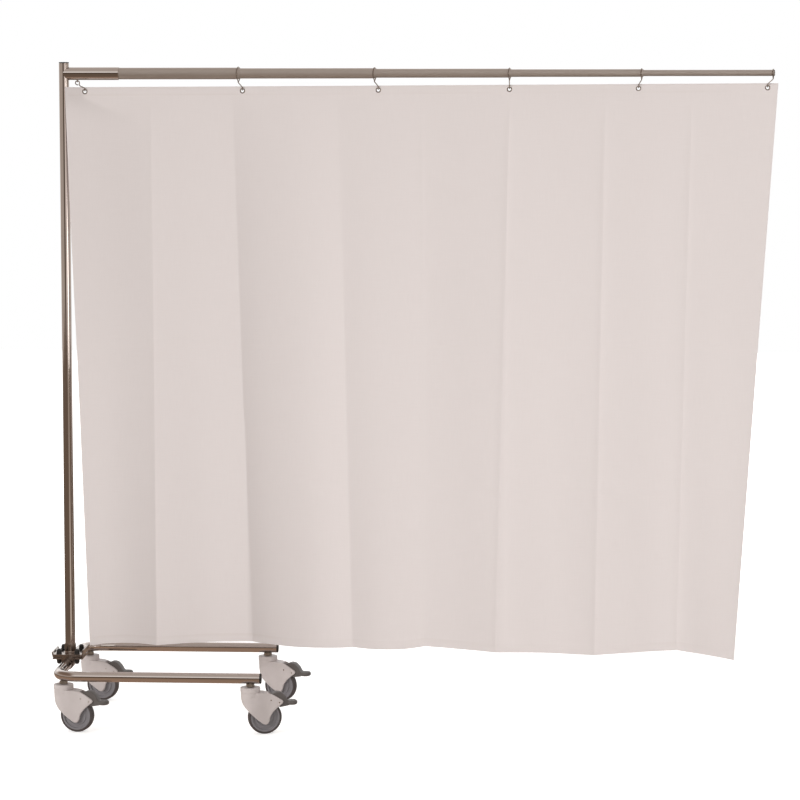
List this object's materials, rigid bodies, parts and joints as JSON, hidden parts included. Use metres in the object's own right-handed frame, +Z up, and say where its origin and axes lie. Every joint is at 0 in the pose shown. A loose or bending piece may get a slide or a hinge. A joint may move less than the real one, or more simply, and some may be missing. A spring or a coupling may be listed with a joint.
{
  "type": "ward privacy screen",
  "caption": "Wheeled ward privacy screen: a chrome post on a U-shaped caster base carries a telescopic rail with a hanging curtain.",
  "frame": {"origin": "the floor point under the middle of the overall box, between the post and the tip of the extended rail", "axes": "+X along the rail from the post to its tip, +Y towards the back, +Z up"},
  "size_m": [2.1524, 0.5579, 1.9604],
  "materials": {
    "chrome": "polished",
    "satin_aluminium": "satin",
    "hook_wire": "bright drawn wire",
    "zinc_steel": "zinc plated",
    "black_plastic": "moulded, semi-matte",
    "grey_plastic": "moulded, semi-matte",
    "housing_plastic": "moulded, warm light grey",
    "wheel_plastic": "moulded, mid grey",
    "tyre_rubber": "non-marking grey rubber",
    "pedal_plastic": "moulded, dark grey",
    "curtain_cloth": "woven, matt, off-white"
  },
  "bodies": {
    "frame": {"base_tube": "chrome", "base_end_cap_front": "black_plastic", "base_end_cap_rear": "black_plastic", "caster_left_front_stem": "zinc_steel", "caster_left_rear_stem": "zinc_steel", "caster_right_front_stem": "zinc_steel", "caster_right_rear_stem": "zinc_steel", "post_tube": "chrome", "post_cap": "black_plastic", "clamp_upper": "chrome", "clamp_lower": "chrome", "clamp_bolt_1": "black_plastic", "clamp_bolt_2": "black_plastic", "clamp_bolt_3": "black_plastic", "clamp_bolt_4": "black_plastic", "arm_sleeve": "chrome", "rail_tube_1": "satin_aluminium", "hook_1": "hook_wire", "hook_2": "hook_wire", "eyelet_1": "zinc_steel", "eyelet_2": "zinc_steel", "curtain_panel_1": "curtain_cloth", "curtain_panel_2": "curtain_cloth"},
    "stage_2": {"rail_tube_2": "satin_aluminium", "hook_3": "hook_wire", "eyelet_3": "zinc_steel", "curtain_panel_3": "curtain_cloth"},
    "stage_3": {"rail_tube_3": "satin_aluminium", "hook_4": "hook_wire", "eyelet_4": "zinc_steel", "curtain_panel_4": "curtain_cloth"},
    "stage_4": {"rail_tube_4": "satin_aluminium", "hook_5": "hook_wire", "eyelet_5": "zinc_steel", "curtain_panel_5": "curtain_cloth"},
    "stage_5": {"rail_tube_5": "satin_aluminium", "rail_end_plug": "grey_plastic", "hook_6": "hook_wire", "eyelet_6": "zinc_steel"},
    "caster_left_front_fork": {"caster_left_front_housing": "housing_plastic", "caster_left_front_axle": "zinc_steel"},
    "caster_left_front_roller": {"caster_left_front_wheel": "wheel_plastic", "caster_left_front_tyre": "tyre_rubber"},
    "caster_left_front_brake": {"caster_left_front_pedal": "pedal_plastic"},
    "caster_left_rear_fork": {"caster_left_rear_housing": "housing_plastic", "caster_left_rear_axle": "zinc_steel"},
    "caster_left_rear_roller": {"caster_left_rear_wheel": "wheel_plastic", "caster_left_rear_tyre": "tyre_rubber"},
    "caster_left_rear_brake": {"caster_left_rear_pedal": "pedal_plastic"},
    "caster_right_front_fork": {"caster_right_front_housing": "housing_plastic", "caster_right_front_axle": "zinc_steel"},
    "caster_right_front_roller": {"caster_right_front_wheel": "wheel_plastic", "caster_right_front_tyre": "tyre_rubber"},
    "caster_right_front_brake": {"caster_right_front_pedal": "pedal_plastic"},
    "caster_right_rear_fork": {"caster_right_rear_housing": "housing_plastic", "caster_right_rear_axle": "zinc_steel"},
    "caster_right_rear_roller": {"caster_right_rear_wheel": "wheel_plastic", "caster_right_rear_tyre": "tyre_rubber"},
    "caster_right_rear_brake": {"caster_right_rear_pedal": "pedal_plastic"}
  },
  "joints": [
    {"name": "rail_slide_2", "type": "slide", "parent": "frame", "child": "stage_2", "axis": [1, 0, 0], "range_m": [-0.382, 0], "deforming": ["curtain_panel_2"]},
    {"name": "rail_slide_3", "type": "slide", "parent": "stage_2", "child": "stage_3", "axis": [1, 0, 0], "range_m": [-0.366, 0], "deforming": ["curtain_panel_3"]},
    {"name": "rail_slide_4", "type": "slide", "parent": "stage_3", "child": "stage_4", "axis": [1, 0, 0], "range_m": [-0.358, 0], "deforming": ["curtain_panel_4"]},
    {"name": "rail_slide_5", "type": "slide", "parent": "stage_4", "child": "stage_5", "axis": [1, 0, 0], "range_m": [-0.356, 0], "deforming": ["curtain_panel_5"]},
    {"name": "caster_left_front_swivel", "type": "hinge", "parent": "frame", "child": "caster_left_front_fork", "pos_m": [-1.00775, -0.23436, 0.13938], "axis": [0, 0, 1], "continuous": true},
    {"name": "caster_left_front_spin", "type": "hinge", "parent": "caster_left_front_fork", "child": "caster_left_front_roller", "pos_m": [-0.9659, -0.24174, 0.04938], "axis": [0.1736, 0.9848, 0], "continuous": true},
    {"name": "caster_left_front_brake_lever", "type": "hinge", "parent": "caster_left_front_fork", "child": "caster_left_front_brake", "pos_m": [-0.9256, -0.24885, 0.09327], "axis": [0.1736, 0.9848, 0], "range_deg": [-12, 0]},
    {"name": "caster_left_rear_swivel", "type": "hinge", "parent": "frame", "child": "caster_left_rear_fork", "pos_m": [-1.00775, 0.23508, 0.13938], "axis": [0, 0, 1], "continuous": true},
    {"name": "caster_left_rear_spin", "type": "hinge", "parent": "caster_left_rear_fork", "child": "caster_left_rear_roller", "pos_m": [-0.9659, 0.2277, 0.04938], "axis": [0.1736, 0.9848, 0], "continuous": true},
    {"name": "caster_left_rear_brake_lever", "type": "hinge", "parent": "caster_left_rear_fork", "child": "caster_left_rear_brake", "pos_m": [-0.9256, 0.22059, 0.09327], "axis": [0.1736, 0.9848, 0], "range_deg": [-12, 0]},
    {"name": "caster_right_front_swivel", "type": "hinge", "parent": "frame", "child": "caster_right_front_fork", "pos_m": [-0.45475, -0.24964, 0.13938], "axis": [0, 0, 1], "continuous": true},
    {"name": "caster_right_front_spin", "type": "hinge", "parent": "caster_right_front_fork", "child": "caster_right_front_roller", "pos_m": [-0.4139, -0.23793, 0.04938], "axis": [-0.2756, 0.9613, 0], "continuous": true},
    {"name": "caster_right_front_brake_lever", "type": "hinge", "parent": "caster_right_front_fork", "child": "caster_right_front_brake", "pos_m": [-0.37456, -0.22665, 0.09327], "axis": [-0.2756, 0.9613, 0], "range_deg": [-12, 0]},
    {"name": "caster_right_rear_swivel", "type": "hinge", "parent": "frame", "child": "caster_right_rear_fork", "pos_m": [-0.45475, 0.25036, 0.13938], "axis": [0, 0, 1], "continuous": true},
    {"name": "caster_right_rear_spin", "type": "hinge", "parent": "caster_right_rear_fork", "child": "caster_right_rear_roller", "pos_m": [-0.41351, 0.24008, 0.04938], "axis": [0.2419, 0.9703, 0], "continuous": true},
    {"name": "caster_right_rear_brake_lever", "type": "hinge", "parent": "caster_right_rear_fork", "child": "caster_right_rear_brake", "pos_m": [-0.37381, 0.23018, 0.09327], "axis": [0.2419, 0.9703, 0], "range_deg": [-12, 0]}
  ]
}
